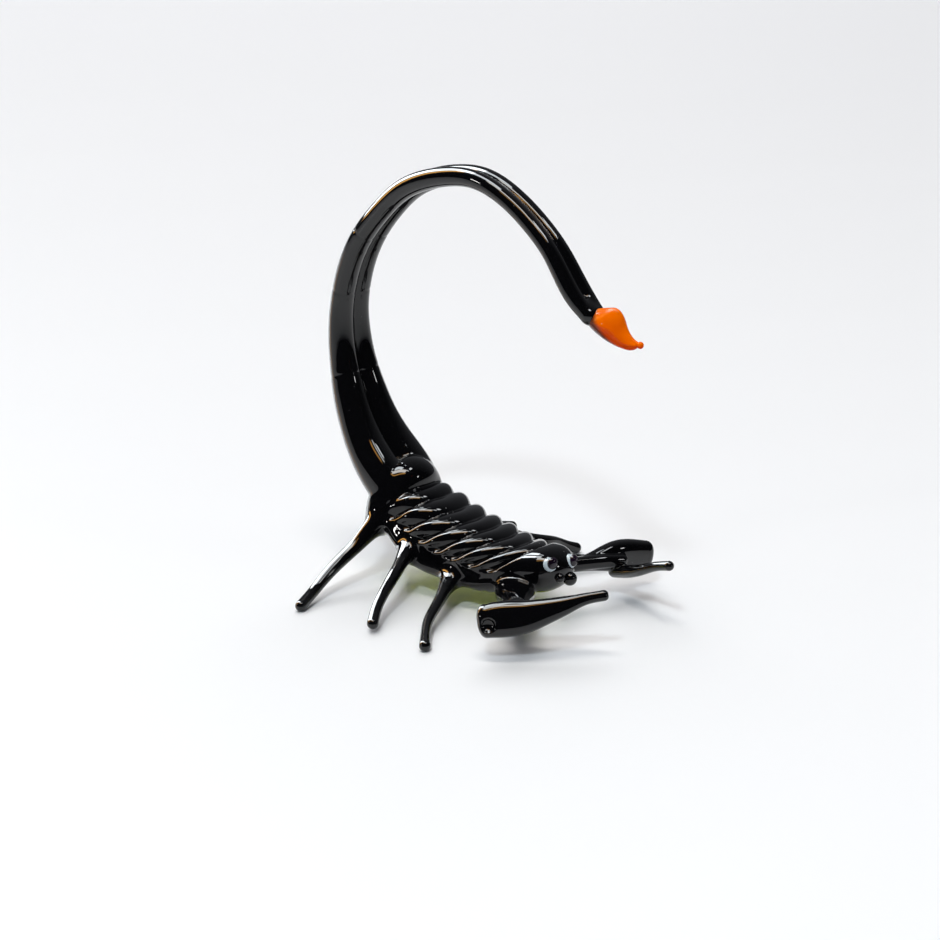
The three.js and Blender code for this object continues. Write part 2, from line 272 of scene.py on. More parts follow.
# Dots: a neck's radius as a share of its dot's, the room round a dot, the way ahead, a full ball's flatness
NECK_SHARE = 0.7
DOT_ROOM = 1.0
AHEAD = (0, 1, 0)
ROUND = 1.0

# Cells for the surfaces in millimetres, and how many fine ones go along a coarse one
COARSE_CELL = 1.2
FINE_PER_COARSE = 4
STING_CELL = 1.0
DOT_CELL = 0.6
SMALL_PER_COARSE = 5

# Fields are worked out this far from the glass, and hold this value beyond
NEAR_MARGIN = 3.4
FAR_AWAY = 3.4
TINY = 1e-9

# Points along a limb's path for a first guess of the nearest place, and how it is refined
PATH_STEP = 0.7
PATH_EXTRA = 12
CHUNK = 40000
NEAREST_ROUNDS = 3
LEAST_CURVE = 0.2

# Coarse cells kept near the surface, in cells, and how points are pulled onto it
KEEP_WITHIN = 1.25
PULL_ROUNDS = 2
PULL_LIMIT = 0.4
LEAST_SLOPE = 0.05
SLOPE_STEP = 0.02


def in_frame(rows):
    """Rows of left, forward, up and more, with forward turned into the frame's y."""
    rows = np.array(rows, float)
    rows[:, 1] = ORIGIN_FORWARD - rows[:, 1]
    return rows


def mirrored(rows):
    """The same rows on the animal's other side."""
    return [[-row[0], *row[1:]] for row in rows]


def ease(v):
    """A smooth step from 0 to 1."""
    v = np.clip(v, 0, 1)
    return v * v * (3 - 2 * v)


def fuse(a, b, flow):
    """Two fields melted together over a width."""
    h = np.maximum(flow - np.abs(a - b), 0) / flow
    return np.minimum(a, b) - h**3 * flow / 6


class Spline:
    """A smooth curve through rows of numbers, by length or by the first number."""

    def __init__(self, rows, by_first=False):
        self.rows = np.array(rows, float)
        step = np.linalg.norm(np.diff(self.rows[:, :3], axis=0), axis=1)
        if by_first:
            step = np.diff(self.rows[:, 0])
        self.knots = np.concatenate([[0.0], np.cumsum(step)])
        if by_first:
            self.knots = self.rows[:, 0].copy()
        count = len(self.knots)
        matrix = np.eye(count)
        right = np.zeros_like(self.rows)
        for i in range(1, count - 1):
            before, after = step[i - 1], step[i]
            matrix[i, i - 1:i + 2] = before / 6, (before + after) / 3, after / 6
            right[i] = (self.rows[i + 1] - self.rows[i]) / after
            right[i] -= (self.rows[i] - self.rows[i - 1]) / before
        self.bend = np.linalg.solve(matrix, right)

    def at(self, t):
        """Value, slope and bend at each t."""
        i = np.clip(np.searchsorted(self.knots, t, side="right") - 1, 0, len(self.knots) - 2)
        h = (self.knots[i + 1] - self.knots[i])[:, None]
        b = (t - self.knots[i])[:, None] / h
        a = 1 - b
        y0, y1, m0, m1 = self.rows[i], self.rows[i + 1], self.bend[i], self.bend[i + 1]
        value = a * y0 + b * y1 + ((a**3 - a) * m0 + (b**3 - b) * m1) * h * h / 6
        slope = (y1 - y0) / h + ((1 - 3 * a * a) * m0 + (3 * b * b - 1) * m1) * h / 6
        return value, slope, a * m0 + b * m1


class Limb:
    """A rod of glass along a path, round or flattened, as a distance field."""

    def __init__(self, rows, level=True, squareness=2.0, pinches=(), roll=0):
        self.line = Spline(in_frame(rows))
        self.level = level
        self.squareness = squareness
        self.roll = roll
        self.length = self.line.knots[-1]
        self.sample_t = np.linspace(0, self.length, int(self.length / PATH_STEP) + PATH_EXTRA)
        self.samples = self.line.at(self.sample_t)[0][:, :3]
        self.reach = self.line.rows[:, 3:5].max() + NEAR_MARGIN
        self.low = self.samples.min(axis=0) - self.reach
        self.high = self.samples.max(axis=0) + self.reach
        self.pinches = []
        if len(pinches):
            spots = in_frame([[self.line.rows[0, 0], *spot] for spot in pinches])
            self.pinches = self.nearest(spots, self.roughly(spots)[0])

    def field(self, points):
        """Distance to the rod's surface, negative inside."""
        out = np.full(len(points), FAR_AWAY)
        near = np.flatnonzero(np.all((points > self.low) & (points < self.high), axis=1))
        if len(near):
            t, gap = self.roughly(points[near])
            close = gap < self.reach
            near, t = near[close], t[close]
            out[near] = np.minimum(self.distance(points[near], self.nearest(points[near], t)), FAR_AWAY)
        return out

    def roughly(self, points):
        """The nearest sample's place along the path, and how far off it is."""
        norms = (self.samples**2).sum(axis=1)
        t = np.empty(len(points))
        gap = np.empty(len(points))
        for start in range(0, len(points), CHUNK):
            part = points[start:start + CHUNK]
            squares = norms - 2 * part @ self.samples.T
            best = squares.argmin(axis=1)
            t[start:start + CHUNK] = self.sample_t[best]
            least = squares[np.arange(len(part)), best] + (part**2).sum(axis=1)
            gap[start:start + CHUNK] = np.sqrt(np.maximum(least, 0))
        return t, gap

    def nearest(self, points, t):
        """The nearest place along the path, refined from a first guess."""
        for _ in range(NEAREST_ROUNDS):
            value, slope, bend = self.line.at(t)
            away = value[:, :3] - points
            first = (away * slope[:, :3]).sum(axis=1)
            second = (slope[:, :3]**2).sum(axis=1) + (away * bend[:, :3]).sum(axis=1)
            t = np.clip(t - first / np.maximum(second, LEAST_CURVE), 0, self.length)
        return t

    def distance(self, points, t):
        """Distance to the surface, measured from the nearest place along the path."""
        value, slope, _ = self.line.at(t)
        tangent = slope[:, :3] / np.linalg.norm(slope[:, :3], axis=1)[:, None]
        if self.level:
            side = np.stack([-tangent[:, 1], tangent[:, 0], np.zeros(len(tangent))], axis=1)
            side /= np.linalg.norm(side, axis=1)[:, None]
        else:
            side = np.broadcast_to(np.array([1.0, 0.0, 0.0]), tangent.shape)
            side = side - tangent * (side * tangent).sum(axis=1)[:, None]
            side = side / np.linalg.norm(side, axis=1)[:, None]
        rise = np.cross(side, tangent)
        turn, lean = math.cos(self.roll), math.sin(self.roll)
        side, rise = side * turn + rise * lean, rise * turn - side * lean
        away = points - value[:, :3]
        u, v, w = ((away * d).sum(axis=1) for d in (side, rise, tangent))
        thick, high = value[:, 3], value[:, 4]
        reach = np.sqrt(u * u + v * v + w * w)
        p = self.squareness
        share = np.abs(u / thick)**p + np.abs(v / high)**p + np.abs(w / np.minimum(thick, high))**p
        share = np.maximum(share, TINY)**(1 / p)
        dent = sum(np.exp(-((t - spot) / PINCH_WIDTH)**2) for spot in self.pinches)
        return reach - reach / share + PINCH_DEPTH * dent


class Hull:
    """Sections along a straight axis, as a distance field."""

    def __init__(self, rows, roundness, rear_rounding, front_rounding, start=(0, 0), tilt=0):
        rows = np.array(rows, float)
        self.sections = Spline(rows, by_first=True)
        self.rear, self.front = rows[0, 0], rows[-1, 0]
        self.roundness = roundness
        self.rear_rounding, self.front_rounding = rear_rounding, front_rounding
        self.start = start
        self.cos, self.sin = math.cos(tilt), math.sin(tilt)

    def field(self, points):
        """Distance to the hull's surface, negative inside."""
        ahead = ORIGIN_FORWARD - points[:, 1] - self.start[0]
        above = points[:, 2] - self.start[1]
        x, along = points[:, 0], ahead * self.cos + above * self.sin
        up = above * self.cos - ahead * self.sin
        rows = self.sections.at(np.clip(along, self.rear, self.front))[0]
        width, half = rows[:, 1], (rows[:, 2] - rows[:, 3]) / 2
        rise = up - (rows[:, 2] + rows[:, 3]) / 2
        behind = np.maximum(self.rear + self.rear_rounding - along, 0)
        beyond = np.maximum(along - self.front + self.front_rounding, 0)
        p = self.roundness
        share = np.abs(x / width)**p + np.abs(rise / half)**p
        share += (behind / self.rear_rounding)**p + (beyond / self.front_rounding)**p
        share = np.maximum(share, TINY)**(1 / p)
        reach = np.sqrt(x * x + rise * rise + behind * behind + beyond * beyond)
        return np.minimum(reach - reach / share + self.relief(x / width, rise / half, along), FAR_AWAY)

    def relief(self, across, height, along):
        """How far the surface is pressed in; a plain hull is smooth."""
        return 0


class Body(Hull):
    """The body and head, with the grooves between its ribs."""

    def relief(self, across, height, along):
        """Depth of the grooves at a place on the back."""
        down = np.arctan2(np.sqrt(across**2 + SPINE_SOFTNESS), height)
        sweep = GROOVE_SWEEP * (np.minimum(down, SWEEP_LIMIT) / GROOVE_END)**GROOVE_BEND
        phase = np.clip((along + sweep - GROOVE_FIRST) / GROOVE_PITCH, -1, GROOVE_LAST + 1)
        share = phase - np.floor(phase)
        low = ease((down - FLANK_START) / FLANK_SPAN)
        lean = RIB_LEAN_TOP + (RIB_LEAN_FLANK - RIB_LEAN_TOP) * low
        ridge = np.sin(math.pi * share**lean)
        outer = np.maximum(-phase, phase - GROOVE_LAST)
        ends = np.where(outer > 0, 1 - ease(outer / GROOVE_FADE), 1)
        depth = GROOVE_DEPTH_TOP + (GROOVE_DEPTH_FLANK - GROOVE_DEPTH_TOP) * low
        closing = 1 - ease((down - GROOVE_END) / GROOVE_END_WIDTH)
        crease = 1 - np.sqrt(ridge**2 + CREASE_SOFTNESS)**RIB_ROUNDNESS
        return depth * np.maximum(crease, 0) * ends * closing


class Dot:
    """A ball of glass, a little flattened along a direction, with a neck behind it where asked."""

    def __init__(self, place, radius, toward, flat, neck=0):
        self.place = in_frame([place])[0]
        self.neck = neck
        self.radius = radius
        toward = np.array([toward[0], -toward[1], toward[2]], float)
        self.toward = toward / np.linalg.norm(toward)
        self.flat = flat
        self.low = self.place - radius - DOT_ROOM
        self.high = self.place + radius + DOT_ROOM

    def field(self, points):
        """Distance to the dot's surface, negative inside."""
        away = points - self.place
        along = away @ self.toward
        flat = away - along[:, None] * self.toward
        share = np.sqrt((flat**2).sum(axis=1) + (along / self.flat)**2) / self.radius
        reach = np.linalg.norm(away, axis=1)
        ball = reach - reach / np.maximum(share, TINY)
        if not self.neck:
            return ball
        root = np.linalg.norm(away + self.neck * self.toward, axis=1) - self.radius * NECK_SHARE
        return fuse(ball, root, FLOW_NECK)


class Sting:
    """The hooked sting and its ball tip."""

    def __init__(self):
        self.hull = Hull(
            STING, STING_ROUNDNESS, STING_REAR_ROUNDING, STING_FRONT_ROUNDING, STING_START, STING_TILT
        )
        self.ball = Dot(STING_TIP, STING_TIP_RADIUS, AHEAD, ROUND)
        self.low = self.ball.place - STING_ROOM_LOW
        self.high = self.ball.place + STING_ROOM_HIGH

    def field(self, points):
        """Distance to the sting's surface, negative inside."""
        return fuse(self.hull.field(points), self.ball.field(points), FLOW_STING)


class Scorpion:
    """All the black glass, fused; labels tell its pieces apart."""

    def __init__(self):
        self.body = Body(BODY, BODY_ROUNDNESS, BODY_REAR_ROUNDING, BODY_FRONT_ROUNDING)
        rod = [[ROD_SPREAD * r, y, z, r, r] for y, z, r in TAIL]
        self.rods = [Limb(row, level=False, pinches=PINCHES) for row in (rod, mirrored(rod))]
        self.tip = Limb(TAIL_TIP, level=False)
        self.hump = Limb(HUMP)
        self.skirts = [Limb(RIGHT_SKIRT), Limb(mirrored(RIGHT_SKIRT))]
        self.legs = {
            "right_front_leg": Limb(RIGHT_FRONT_LEG),
            "right_middle_leg": Limb(RIGHT_MIDDLE_LEG),
            "right_rear_leg": Limb(RIGHT_REAR_LEG),
            "left_front_leg": Limb(mirrored(RIGHT_FRONT_LEG)),
            "left_middle_leg": Limb(LEFT_MIDDLE_LEG),
            "left_rear_leg": Limb(mirrored(RIGHT_REAR_LEG)),
        }
        self.claws = {
            "right_claw": [
                Limb(RIGHT_ARM),
                Limb(RIGHT_OUTER_FINGER, squareness=2.5, roll=CLAW_ROLL),
                Limb(RIGHT_INNER_FINGER),
            ],
            "left_claw": [Limb(LEFT_ARM, squareness=2.4), Limb(LEFT_ARM_END), Limb(LEFT_FINGER)],
        }
        self.dent = Dot(CLAW_DENT, CLAW_DENT_RADIUS, AHEAD, ROUND)
        self.names = ["body", "tail", *self.legs, *self.claws]
        limbs = [*self.rods, self.hump, *self.legs.values(), *sum(self.claws.values(), [])]
        self.low = np.min([limb.low for limb in limbs], axis=0)
        self.high = np.max([limb.high for limb in limbs], axis=0)

    def parts(self, points):
        """Distance to each piece on its own, in the order of the names."""
        tail = fuse(self.rods[0].field(points), self.rods[1].field(points), FLOW_RODS)
        tail = fuse(tail, self.tip.field(points), FLOW_TIP)
        trunk = self.body.field(points)
        for skirt in self.skirts:
            trunk = fuse(trunk, skirt.field(points), FLOW_SKIRT)
        parts = [trunk, fuse(tail, self.hump.field(points), FLOW_HUMP)]
        parts += [leg.field(points) for leg in self.legs.values()]
        for arm, *fingers in self.claws.values():
            claw = arm.field(points)
            for finger in fingers:
                claw = fuse(claw, finger.field(points), FLOW_FINGERS)
            parts.append(claw)
        right_claw = self.names.index("right_claw")
        parts[right_claw] = -fuse(-parts[right_claw], self.dent.field(points), FLOW_DENT)
        return parts

    def field(self, points):
        """Distance to the fused glass, negative inside."""
        parts = self.parts(points)
        flows = [FLOW_TAIL] + [FLOW_LEG] * len(self.legs) + [FLOW_CLAW] * len(self.claws)
        whole = parts[0]
        for part, flow in zip(parts[1:], flows):
            whole = fuse(whole, part, flow)
        return whole

    def label(self, points):
        """The nearest piece's place in the names."""
        return np.argmin(np.stack(self.parts(points)), axis=0)


def slopes(shape, points):
    """Direction of steepest rise of a field."""
    out = np.empty_like(points)
    for axis in range(3):
        shift = np.zeros(3)
        shift[axis] = SLOPE_STEP
        out[:, axis] = shape.field(points + shift) - shape.field(points - shift)
    return out / (2 * SLOPE_STEP)


def surface(shape, coarse, per_coarse):
    """Corner points, outward normals and four-sided faces of a shape's surface."""
    fine = coarse / per_coarse
    counts = np.ceil((shape.high - shape.low) / coarse).astype(int) + 1
    grid = np.stack(np.meshgrid(*[np.arange(n) for n in counts], indexing="ij"), -1).reshape(-1, 3)
    middle = shape.low + (grid + 0.5) * coarse
    blocks = grid[np.abs(shape.field(middle)) < coarse * KEEP_WITHIN]
    inner = np.stack(np.meshgrid(*[np.arange(per_coarse)] * 3, indexing="ij"), -1).reshape(-1, 3)
    cells = (blocks[:, None, :] * per_coarse + inner[None]).reshape(-1, 3)
    size = counts * per_coarse + 3

    def key(index):
        """One number for each cell."""
        return (index[:, 0] * size[1] + index[:, 1]) * size[2] + index[:, 2]

    offsets = np.array([[i, j, k] for i in (0, 1) for j in (0, 1) for k in (0, 1)])
    corner_keys = key((cells[:, None, :] + offsets[None]).reshape(-1, 3))
    unique, place = np.unique(corner_keys, return_inverse=True)
    index = np.stack([unique // (size[1] * size[2]), unique // size[2] % size[1], unique % size[2]], 1)
    values = shape.field(shape.low + index * fine)
    corner = values[place].reshape(-1, 8)
    crossed = (corner.min(axis=1) < 0) & (corner.max(axis=1) >= 0)
    cells, corner = cells[crossed], corner[crossed]

    # A point in each crossed cell, at the mean of its edge crossings
    total = np.zeros((len(cells), 3))
    hits = np.zeros(len(cells))
    for i in range(8):
        for axis in range(3):
            j = i | (4 >> axis)
            if j == i:
                continue
            a, b = corner[:, i], corner[:, j]
            cut = (a < 0) != (b < 0)
            share = np.where(cut, a / np.where(cut, a - b, 1), 0)
            at = offsets[i] + share[:, None] * (offsets[j] - offsets[i])
            total += np.where(cut[:, None], at, 0)
            hits += cut
    points = shape.low + (cells + total / hits[:, None]) * fine

    # A face around each crossed edge
    cell_keys = key(cells)
    order = np.argsort(cell_keys)
    ordered = cell_keys[order]
    faces = []
    for axis in range(3):
        end = 4 >> axis
        a, b = corner[:, 0], corner[:, end]
        cut = np.where((a < 0) != (b < 0))[0]
        u, v = np.eye(3, dtype=int)[(axis + 1) % 3], np.eye(3, dtype=int)[(axis + 2) % 3]
        ring = [cells[cut], cells[cut] - u, cells[cut] - u - v, cells[cut] - v]
        found = []
        good = np.ones(len(cut), bool)
        for cell in ring:
            spot = np.minimum(np.searchsorted(ordered, key(cell)), len(ordered) - 1)
            good &= ordered[spot] == key(cell)
            found.append(order[spot])
        face = np.stack(found, 1)
        inward = a[cut] >= 0
        face[inward] = face[inward][:, ::-1]
        faces.append(face[good])

    # Points pulled onto the surface
    for _ in range(PULL_ROUNDS):
        slope = slopes(shape, points)
        pull = shape.field(points) / np.maximum((slope**2).sum(axis=1), LEAST_SLOPE)
        points = points - np.clip(pull, -PULL_LIMIT, PULL_LIMIT)[:, None] * slope
    normals = slopes(shape, points)
    normals /= np.maximum(np.linalg.norm(normals, axis=1), TINY)[:, None]
    return points, normals, np.concatenate(faces)


def piece(name, points, normals, faces, material, slot):
    """A mesh piece in the frame, standing for the CAD node of its name."""
    used, place = np.unique(faces, return_inverse=True)
    mesh = bpy.data.meshes.new(name + "_glass")
    mesh.from_pydata((points[used] * MM).tolist(), [], place.reshape(faces.shape).tolist())
    mesh.polygons.foreach_set("use_smooth", [True] * len(mesh.polygons))
    mesh.normals_split_custom_set_from_vertices(normals[used].tolist())
    mesh.materials.append(material)
    obj = bpy.data.objects.new(name + "_glass", mesh)
    bpy.context.scene.collection.objects.link(obj)
    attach(obj, "root")
    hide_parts(name)
    return obj


# Shader nodes
def new_material(name):
    """A material with its nodes, links and shader."""
    material = bpy.data.materials.new(name)
    material.use_nodes = True
    nodes = material.node_tree.nodes
    return material, nodes, material.node_tree.links, nodes["Principled BSDF"]


def ramp(nodes, stops):
    """A colour ramp with a colour at each stop."""
    node = nodes.new("ShaderNodeValToRGB")
    while len(node.color_ramp.elements) < len(stops):
        node.color_ramp.elements.new(0.5)
    for element, (place, colour) in zip(node.color_ramp.elements, stops):
        element.position = place
        element.color = (*colour, 1)
    return node


def noise(nodes, links, scale):
    """Soft noise over the object's own coordinates."""
    place = nodes.new("ShaderNodeTexCoord")
    node = nodes.new("ShaderNodeTexNoise")
    node.inputs["Scale"].default_value = scale
    links.new(place.outputs["Object"], node.inputs["Vector"])
    return node.outputs["Fac"]


def map_range(nodes, links, value, low, high, to_low=0, to_high=1):
    """A value stretched from one range to another and held at its ends."""
    node = nodes.new("ShaderNodeMapRange")
    node.inputs["From Min"].default_value = low
    node.inputs["From Max"].default_value = high
    node.inputs["To Min"].default_value = to_low
    node.inputs["To Max"].default_value = to_high
    links.new(value, node.inputs["Value"])
    return node.outputs["Result"]


def combine(nodes, links, operation, value):
    """A math node on a value, with its other inputs still to be set or linked."""
    node = nodes.new("ShaderNodeMath")
    node.operation = operation
    links.new(value, node.inputs[0])
    return node


def blend(nodes, links, factor, second):
    """A mix toward a second colour, with the first still to be set or linked."""
    node = nodes.new("ShaderNodeMix")
    node.data_type = "RGBA"
    node.inputs["B"].default_value = (*second, 1)
    links.new(factor, node.inputs["Factor"])
    return node


def upward(nodes, links):
    """How far the surface faces up, from -1 to 1."""
    facing = nodes.new("ShaderNodeNewGeometry")
    split = nodes.new("ShaderNodeSeparateXYZ")
    links.new(facing.outputs["Normal"], split.inputs["Vector"])
    return split.outputs["Z"]


# Fire-polished glass: scales are cells in a metre, and ranges are the part of a noise that is used
GLASS_IOR = 1.5
WAVE_SCALE = 160
WAVE_HEIGHT = 0.0004
GLOSS_SCALE = 420
GLOSS_RANGE = (0.35, 0.7)
DUST_SCALE = 900
DUST_PATCH_SCALE = 130
DUST_PATCH_RANGE = (0.47, 0.75)
DUST_ROUGHNESS = 0.5
DUST_COLOUR = (0.12, 0.12, 0.12)
BLACK_COLOUR = (0.0022, 0.0022, 0.0028)

# Painted coloured light: a yellow-green on the faces that look down, which tints the floor's shade under
# the body, and how far down a surface faces where it starts and is full
UNDERSIDE_LIGHT_TINT = (0.6, 0.68, 0.1)
UNDERSIDE_LIGHT_RANGE = (-0.75, -0.95)


def wavy_gloss(nodes, links, shader, smoothest, roughest, wave):
    """A slow waviness on the shader, and a slightly uneven roughness to use."""
    bump = nodes.new("ShaderNodeBump")
    bump.inputs["Strength"].default_value = wave
    bump.inputs["Distance"].default_value = WAVE_HEIGHT
    links.new(noise(nodes, links, WAVE_SCALE), bump.inputs["Height"])
    links.new(bump.outputs["Normal"], shader.inputs["Normal"])
    return map_range(nodes, links, noise(nodes, links, GLOSS_SCALE), *GLOSS_RANGE, smoothest, roughest)


def dust(nodes, links, amount):
    """1 on specks of dust, which gather in patches, and 0 between them."""
    place = nodes.new("ShaderNodeTexCoord")
    specks = nodes.new("ShaderNodeTexVoronoi")
    specks.inputs["Scale"].default_value = DUST_SCALE
    links.new(place.outputs["Object"], specks.inputs["Vector"])
    patches = map_range(nodes, links, noise(nodes, links, DUST_PATCH_SCALE), *DUST_PATCH_RANGE)
    size = combine(nodes, links, "MULTIPLY", patches)
    size.inputs[1].default_value = amount
    speck = combine(nodes, links, "LESS_THAN", specks.outputs["Distance"])
    links.new(size.outputs["Value"], speck.inputs[1])
    return speck.outputs["Value"]


def black_glass(name, light_tinted_underside, dusty):
    """Opaque black glass with a little dust, and, where asked, a painted yellow-green on its down-facing
    faces that tints the shade beneath it.
    """
    material, nodes, links, shader = new_material(name)
    shader.inputs["IOR"].default_value = GLASS_IOR
    gloss = wavy_gloss(nodes, links, shader, smoothest=0.015, roughest=0.05, wave=0.12)
    specks = dust(nodes, links, dusty)
    dull = combine(nodes, links, "MULTIPLY", specks)
    dull.inputs[1].default_value = DUST_ROUGHNESS
    rough = combine(nodes, links, "MAXIMUM", gloss)
    links.new(dull.outputs["Value"], rough.inputs[1])
    links.new(rough.outputs["Value"], shader.inputs["Roughness"])
    colour = blend(nodes, links, specks, DUST_COLOUR)
    colour.inputs["A"].default_value = (*BLACK_COLOUR, 1)
    # Painted coloured light: yellow-green on the down-facing faces, there to tint the floor's shade under
    # the body
    if light_tinted_underside:
        under = map_range(nodes, links, upward(nodes, links), *UNDERSIDE_LIGHT_RANGE)
        green = blend(nodes, links, under, UNDERSIDE_LIGHT_TINT)
        links.new(colour.outputs["Result"], green.inputs["A"])
        colour = green
    links.new(colour.outputs["Result"], shader.inputs["Base Color"])
    return material


# Painted shading on the sting: its tones follow how far up it faces, lighter on top and darker below, made
# uneven by streaks
STREAK_SCALE = 350
STREAK_STRENGTH = 0.35
SHADING_RANGE = (-0.6, 0.7)
ORANGE_SHADING_TONES = [
    (0.0, (0.5, 0.035, 0.0)),
    (0.45, (0.7, 0.07, 0.0)),
    (1.0, (0.9, 0.15, 0.0)),
]

# The sting's brown root: a direction back and down, and how far along it brown starts and is full
ROOT_COLOUR = (0.06, 0.02, 0.012)
ROOT_WAY = (0, 0.8, -0.6)
ROOT_START = -0.0617
ROOT_FULL = -0.0605
ROOT_STRENGTH = 0.9


def orange_glass():
    """Orange glass with painted shading, darker along its lower side, and brown where it meets the black.
    """
    material, nodes, links, shader = new_material("orange_glass")
    shader.inputs["IOR"].default_value = 1.36
    shader.inputs["Specular IOR Level"].default_value = 0.12
    shader.inputs["Subsurface Weight"].default_value = 0.15
    shader.inputs["Subsurface Radius"].default_value = (0.002, 0.0006, 0.0002)
    shader.inputs["Subsurface Scale"].default_value = 0.5
    gloss = wavy_gloss(nodes, links, shader, smoothest=0.03, roughest=0.09, wave=0.08)
    links.new(gloss, shader.inputs["Roughness"])
    # Painted shade: the orange goes darker on faces that look down and lighter on faces that look up
    shading_and_streaks = combine(nodes, links, "MULTIPLY_ADD", noise(nodes, links, STREAK_SCALE))
    shading_and_streaks.inputs[1].default_value = STREAK_STRENGTH
    links.new(upward(nodes, links), shading_and_streaks.inputs[2])
    tones = ramp(nodes, ORANGE_SHADING_TONES)
    links.new(map_range(nodes, links, shading_and_streaks.outputs["Value"], *SHADING_RANGE), tones.inputs["Fac"])
    place = nodes.new("ShaderNodeTexCoord")
    depth = nodes.new("ShaderNodeVectorMath")
    depth.operation = "DOT_PRODUCT"
    depth.inputs[1].default_value = ROOT_WAY
    links.new(place.outputs["Object"], depth.inputs[0])
    root = map_range(nodes, links, depth.outputs["Value"], ROOT_START, ROOT_FULL, to_high=ROOT_STRENGTH)
    brown = blend(nodes, links, root, ROOT_COLOUR)
    links.new(tones.outputs["Color"], brown.inputs["A"])
    links.new(brown.outputs["Result"], shader.inputs["Base Color"])
    return material


# Faint clouds in the dots
CLOUD_SCALE = 700
CLOUD_RANGE = (0.35, 0.65)


def dot_glass(name, dark, light):
    """Small dots of opaque glass with faint clouding."""
    material, nodes, links, shader = new_material(name)
    shader.inputs["IOR"].default_value = GLASS_IOR
    gloss = wavy_gloss(nodes, links, shader, smoothest=0.04, roughest=0.1, wave=0.05)
    links.new(gloss, shader.inputs["Roughness"])
    tones = ramp(nodes, [(CLOUD_RANGE[0], dark), (CLOUD_RANGE[1], light)])
    links.new(noise(nodes, links, CLOUD_SCALE), tones.inputs["Fac"])
    links.new(tones.outputs["Color"], shader.inputs["Base Color"])
    return material


BLACK = black_glass("black_glass", light_tinted_underside=False, dusty=0.1)
# The body's glass carries the painted yellow-green on its underside
BLACK_BODY = black_glass("black_glass_body", light_tinted_underside=True, dusty=0.19)
ORANGE = orange_glass()
WHITE = dot_glass("white_glass", (0.5, 0.58, 0.63), (0.62, 0.7, 0.74))
PURPLE = dot_glass("purple_glass", (0.003, 0.0012, 0.004), (0.009, 0.003, 0.012))

# The fused black glass, parted into its pieces
scorpion = Scorpion()
points, normals, faces = surface(scorpion, COARSE_CELL, FINE_PER_COARSE)
labels = scorpion.label(points[faces].mean(axis=1))
for number, name in enumerate(scorpion.names):
    material = BLACK_BODY if name == "body" else BLACK
    piece(name, points, normals, faces[labels == number], material, "black_glass")

# The orange sting over the tail's end
piece("sting", *surface(Sting(), STING_CELL, SMALL_PER_COARSE), ORANGE, "orange_glass")

# Eyes, pupils and the beads below them: place, radius, facing, flatness and neck of each dot
DOTS = {
    "right_eye": (Dot((-3.0, 23.5, 11.7), 1.5, (-0.3, 1, 0.1), 0.95), WHITE, "white_glass"),
    "left_eye": (Dot((2.2, 24.2, 11.2), 1.5, (0.3, 1, 0.1), 0.95), WHITE, "white_glass"),
    "right_pupil": (Dot((-3.2, 24.5, 12.35), 1.2, (-0.2, 1, 0.1), 0.6), PURPLE, "purple_glass"),
    "left_pupil": (Dot((2.4, 25.2, 11.6), 1.2, (0.2, 1, 0.1), 0.6), PURPLE, "purple_glass"),
    "right_bead": (Dot((-2.0, 25.4, 9.2), 0.95, AHEAD, ROUND, 0.9), BLACK, "black_glass"),
    "left_bead": (Dot((1.3, 25.2, 8.1), 1.4, AHEAD, ROUND, 1.2), BLACK, "black_glass"),
}
for name, (dot, material, slot) in DOTS.items():
    piece(name, *surface(dot, DOT_CELL, SMALL_PER_COARSE), material, slot)

# Camera at the photograph's place
AIM_HEIGHT = 25.3
AIM = Vector((0, ORIGIN_FORWARD * MM, AIM_HEIGHT * MM))
HEADING = math.radians(42.0)
ELEVATION = math.radians(18.2)
DISTANCE = 0.5
SENSOR_MM = 36
FOCAL_PIXELS = 2500
IMAGE_PIXELS = 940
back = Vector((
    -math.cos(HEADING) * math.cos(ELEVATION),
    -math.sin(HEADING) * math.cos(ELEVATION),
    math.sin(ELEVATION),
))
camera_data = bpy.data.cameras.new("camera")
camera_data.sensor_width = SENSOR_MM
camera_data.lens = SENSOR_MM * FOCAL_PIXELS / IMAGE_PIXELS
camera_data.clip_start = 0.01
camera = bpy.data.objects.new("camera", camera_data)
camera.location = AIM + back * DISTANCE
camera.rotation_euler = back.to_track_quat("Z", "Y").to_euler()
bpy.context.scene.collection.objects.link(camera)
bpy.context.scene.camera = camera

# Level directions to the picture's right and toward the camera
right = Vector((math.sin(HEADING), -math.cos(HEADING), 0))
toward = Vector((back.x, back.y, 0)).normalized()

# Glossy pale floor
SPAN = 4.0
corners = [(-SPAN, -SPAN, 0), (SPAN, -SPAN, 0), (SPAN, SPAN, 0), (-SPAN, SPAN, 0)]
floor_mesh = bpy.data.meshes.new("floor")
floor_mesh.from_pydata(corners, [], [(0, 1, 2, 3)])
floor = bpy.data.objects.new("floor", floor_mesh)
bpy.context.scene.collection.objects.link(floor)
material, nodes, links, shader = new_material("pale_floor")
shader.inputs["Base Color"].default_value = (0.91, 0.91, 0.925, 1)
shader.inputs["Roughness"].default_value = 0.3
shader.inputs["IOR"].default_value = 1.3
floor_mesh.materials.append(material)


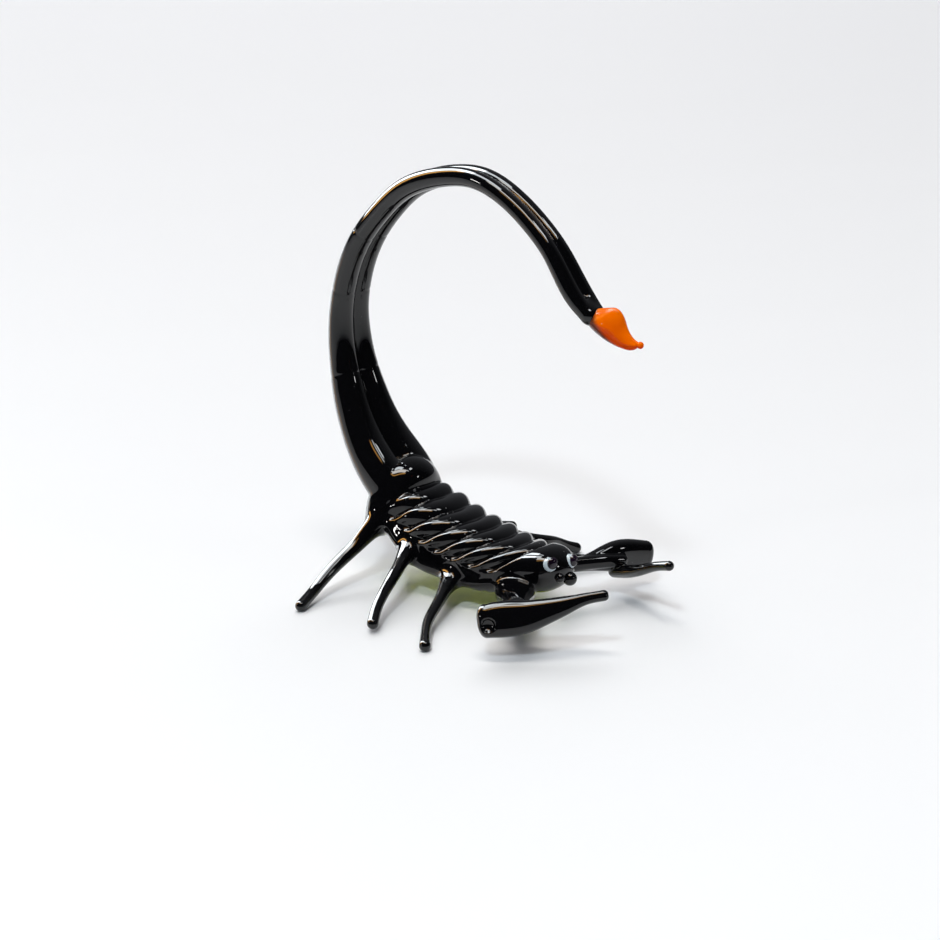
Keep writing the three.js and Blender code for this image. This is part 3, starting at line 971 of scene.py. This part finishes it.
def area_light(name, place, size, power, colour, aim=(0, 0, 0.03), glossy=True, diffuse=True):
    """A soft panel, placed and aimed by steps right, toward the camera and up."""
    data = bpy.data.lights.new(name, "AREA")
    data.shape = "RECTANGLE"
    data.size, data.size_y = size
    data.energy = power
    data.color = colour
    light = bpy.data.objects.new(name, data)
    light.location = right * place[0] + toward * place[1] + Vector((0, 0, place[2]))
    target = right * aim[0] + toward * aim[1] + Vector((0, 0, aim[2]))
    light.rotation_euler = (target - light.location).to_track_quat("-Z", "Y").to_euler()
    light.visible_glossy = glossy
    light.visible_diffuse = diffuse
    bpy.context.scene.collection.objects.link(light)


# Light colours that are used twice
WHITE_LIGHT = (1.0, 1.0, 1.0)
WINDOW_LIGHT = (0.9, 0.96, 1.0)
AMBER_LIGHT = (1.0, 0.5, 0.12)

# Place, size, watts and colour of each panel; some only show in the gloss, some only on the floor
area_light("overhead_panel", (-0.1, 0.22, 1.15), (0.7, 0.2), 5.2, (1.0, 0.96, 0.9))
area_light("overhead_end", (0.41, 0.22, 1.15), (0.32, 0.2), 2.6, (0.95, 0.98, 1.0), diffuse=False)
area_light("warm_strip", (-0.1, 0.43, 1.08), (0.7, 0.08), 1.4, AMBER_LIGHT, diffuse=False)
area_light("bridge_panel", (-0.36, -0.3, 1.2), (0.4, 0.9), 14.0, WINDOW_LIGHT, diffuse=False)
area_light("window_panel", (-0.66, -0.75, 0.75), (0.5, 1.3), 36.0, WINDOW_LIGHT, diffuse=False)
area_light("warm_edge", (-0.92, -0.4, 0.6), (0.18, 1.0), 6.5, AMBER_LIGHT, diffuse=False)
area_light("camera_lamp", (-0.22, 0.8, 1.0), (0.15, 0.15), 5.2, (0.84, 0.94, 1.0), glossy=False)
area_light("left_lamp", (-1.15, 0.35, 0.4), (0.08, 0.08), 0.8, (1.0, 0.98, 0.95))
area_light("right_lamp", (1.1, 0.4, 0.45), (0.1, 0.1), 0.5, WHITE_LIGHT)
area_light("far_floor", (0.0, -1.5, 1.5), (2.6, 1.2), 37.0, WHITE_LIGHT, (0, -1.5, 0), glossy=False)

# Surroundings: dark in the gloss but for a paler part behind and above, and an even grey elsewhere
PALER_WAY = (-toward * 0.85 + Vector((0, 0, 0.5))).normalized()
world = bpy.data.worlds.new("surroundings")
bpy.context.scene.world = world
world.use_nodes = True
nodes, links = world.node_tree.nodes, world.node_tree.links
place = nodes.new("ShaderNodeTexCoord")
across = nodes.new("ShaderNodeVectorMath")
across.operation = "DOT_PRODUCT"
across.inputs[1].default_value = PALER_WAY
links.new(place.outputs["Generated"], across.inputs[0])
tones = ramp(nodes, [
    (0.0, (0.008, 0.008, 0.009)),
    (0.62, (0.01, 0.01, 0.011)),
    (1.0, (0.18, 0.185, 0.2)),
])
links.new(map_range(nodes, links, across.outputs["Value"], -1, 1), tones.inputs["Fac"])
path = nodes.new("ShaderNodeLightPath")
seen = nodes.new("ShaderNodeMix")
seen.data_type = "RGBA"
seen.inputs["A"].default_value = (0.095, 0.1, 0.11, 1)
links.new(path.outputs["Is Glossy Ray"], seen.inputs["Factor"])
links.new(tones.outputs["Color"], seen.inputs["B"])
links.new(seen.outputs["Result"], nodes["Background"].inputs["Color"])

# Plain colours, as a camera's picture has them
bpy.context.scene.view_settings.view_transform = "Standard"
